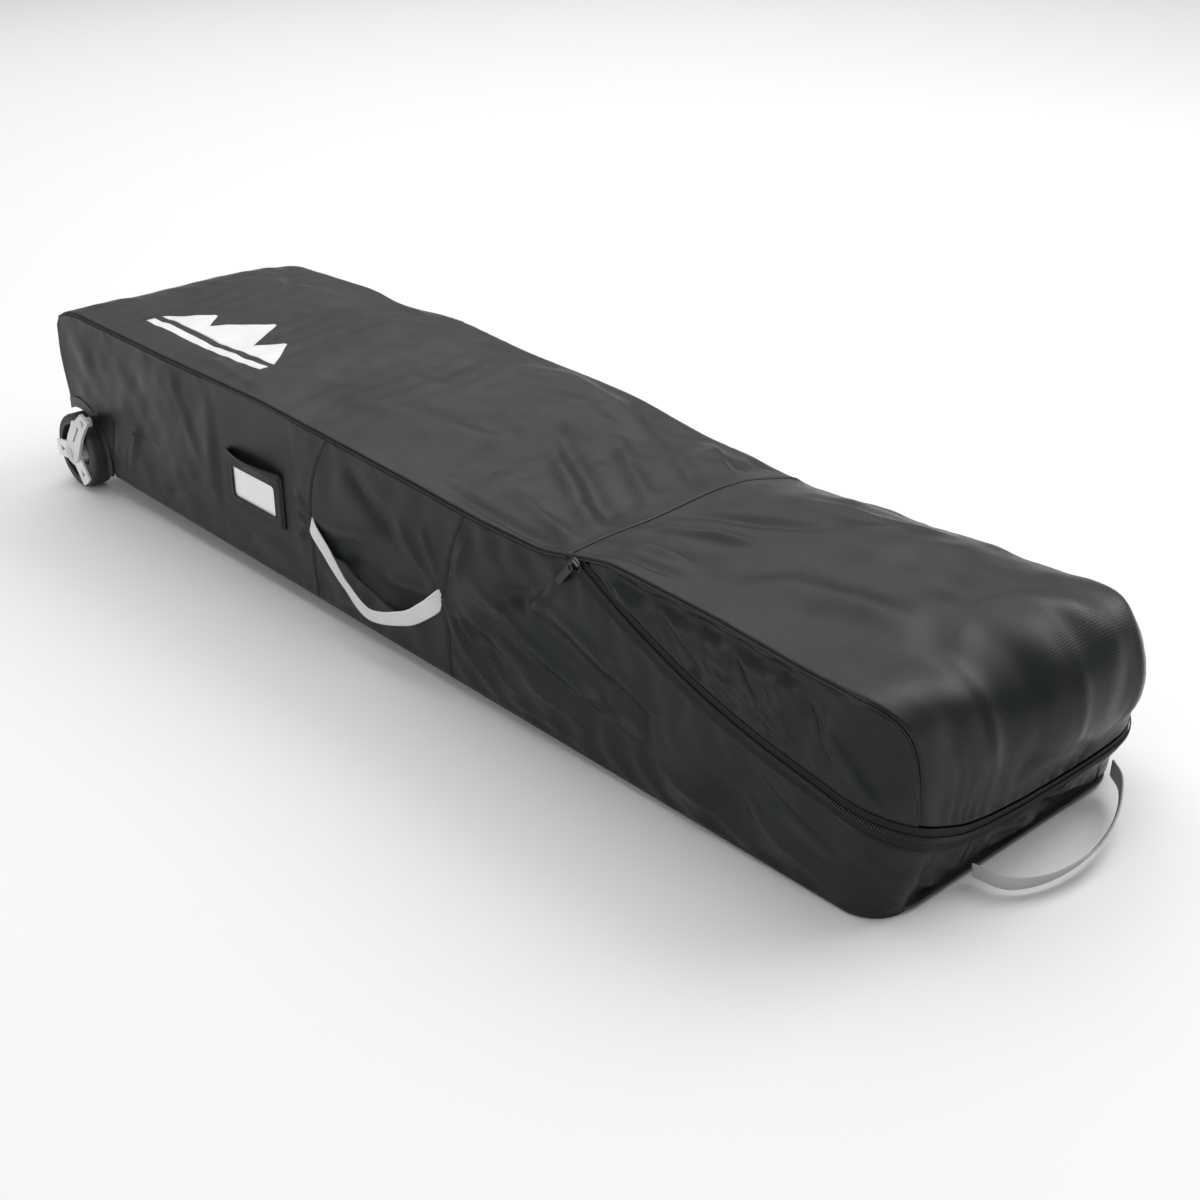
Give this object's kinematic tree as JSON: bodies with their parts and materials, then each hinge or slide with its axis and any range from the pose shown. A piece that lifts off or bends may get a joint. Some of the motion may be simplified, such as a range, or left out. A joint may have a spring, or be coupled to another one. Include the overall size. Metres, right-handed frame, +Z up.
{
  "type": "snowboard bag",
  "caption": "Long wheeled snowboard bag: padded fabric shell, zipped front lid, corner wheels, side and nose webbing handles, identity-card pocket.",
  "frame": {"origin": "centre of the whole bag's box, on the ground it stands on", "axes": "+X from the wheels to the nose, +Y from the side with the handle to the plain side, +Z up"},
  "size_m": [1.7806, 0.5042, 0.3113],
  "materials": {
    "shell_fabric": "charcoal woven polyester, satin, padded",
    "zip_tape": "black woven zip tape",
    "zip_teeth": "black nylon coil",
    "zip_metal": "blackened cast metal",
    "webbing": "light grey woven webbing",
    "strap_black": "black woven webbing",
    "buckle_plastic": "black moulded buckle",
    "stiffener_plastic": "black polyethylene sheet",
    "foam": "laminated foam padding",
    "window_film": "clear film",
    "card_paper": "white card",
    "housing_plastic": "black moulded plastic",
    "tyre_rubber": "dark grey soft tyre",
    "rim_plastic": "black moulded rim",
    "spoke_plastic": "white moulded spokes",
    "arm_plastic": "off-white moulded arm",
    "bright_steel": "zinc-plated steel"
  },
  "bodies": {
    "shell": {"side_rear_panel_near": "shell_fabric", "side_middle_panel_near": "shell_fabric", "side_front_panel_near": "shell_fabric", "side_rear_panel_far": "shell_fabric", "side_middle_panel_far": "shell_fabric", "side_front_panel_far": "shell_fabric", "bottom_panel": "shell_fabric", "wheel_end_panel": "shell_fabric", "nose_lower_panel": "shell_fabric", "top_rear_panel": "shell_fabric", "zip_tape_lower": "zip_tape", "zip_teeth_lower": "zip_teeth", "zip_stop_near": "zip_metal", "zip_stop_far": "zip_metal", "id_pocket_frame": "shell_fabric", "id_window_film": "window_film", "base_stiffener": "stiffener_plastic", "base_foam_pad": "foam", "board_strap_rear": "strap_black", "board_strap_front": "strap_black", "board_buckle_rear": "buckle_plastic", "board_buckle_front": "buckle_plastic", "wheel_housing_near": "housing_plastic", "wheel_housing_far": "housing_plastic", "wheel_axle_near": "bright_steel", "wheel_axle_far": "bright_steel", "axle_arm_near": "arm_plastic", "axle_arm_far": "arm_plastic", "axle_cap_near": "arm_plastic", "axle_cap_far": "arm_plastic", "arm_screw_near": "bright_steel", "arm_screw_far": "bright_steel"},
    "lid": {"lid_top_panel": "shell_fabric", "lid_gusset_near": "shell_fabric", "lid_gusset_far": "shell_fabric", "zip_tape_upper": "zip_tape", "zip_teeth_upper": "zip_teeth"},
    "wheel_near": {"wheel_tyre_near": "tyre_rubber", "wheel_rim_near": "rim_plastic", "wheel_spokes_near": "spoke_plastic", "outer_bearing_near": "bright_steel", "inner_bearing_near": "bright_steel"},
    "wheel_far": {"wheel_tyre_far": "tyre_rubber", "wheel_rim_far": "rim_plastic", "wheel_spokes_far": "spoke_plastic", "outer_bearing_far": "bright_steel", "inner_bearing_far": "bright_steel"},
    "slider": {"zip_slider": "zip_metal"},
    "pull_tab": {"zip_pull_tab": "zip_metal"},
    "side_handle": {"side_handle_strap": "webbing"},
    "nose_handle": {"nose_handle_strap": "webbing"},
    "card": {"id_card": "card_paper"}
  },
  "joints": [
    {"name": "lid_hinge", "type": "hinge", "parent": "shell", "child": "lid", "pos_m": [0.35249, 0, 0.29206], "axis": [0, -1, 0], "range_deg": [0, 150]},
    {"name": "wheel_spin_near", "type": "hinge", "parent": "shell", "child": "wheel_near", "pos_m": [-0.83029, -0.223, 0.06], "axis": [0, 1, 0], "continuous": true},
    {"name": "wheel_spin_far", "type": "hinge", "parent": "shell", "child": "wheel_far", "pos_m": [-0.83029, 0.223, 0.06], "axis": [0, 1, 0], "continuous": true},
    {"name": "zip_travel", "type": "hinge", "parent": "shell", "child": "slider", "pos_m": [0.86156, -0.221, 1.10168], "axis": [0, -1, 0], "range_deg": [0, 20.5]},
    {"name": "pull_tab_hinge", "type": "hinge", "parent": "slider", "child": "pull_tab", "pos_m": [0.36773, -0.227, 0.25669], "axis": [-0.752, 0, 0.6591], "range_deg": [0, 170]},
    {"name": "side_handle_swing", "type": "hinge", "parent": "shell", "child": "side_handle", "pos_m": [-0.02579, -0.221, 0.14418], "axis": [-0.9998, 0, 0.0216], "range_deg": [0, 115]},
    {"name": "nose_handle_swing", "type": "hinge", "parent": "shell", "child": "nose_handle", "pos_m": [0.81901, 0, 0.03295], "axis": [-0.0013, -0.9982, -0.0593], "range_deg": [0, 80]},
    {"name": "card_slide", "type": "slide", "parent": "shell", "child": "card", "axis": [0.0216, 0, 0.9998], "range_m": [0, 0.07]}
  ]
}
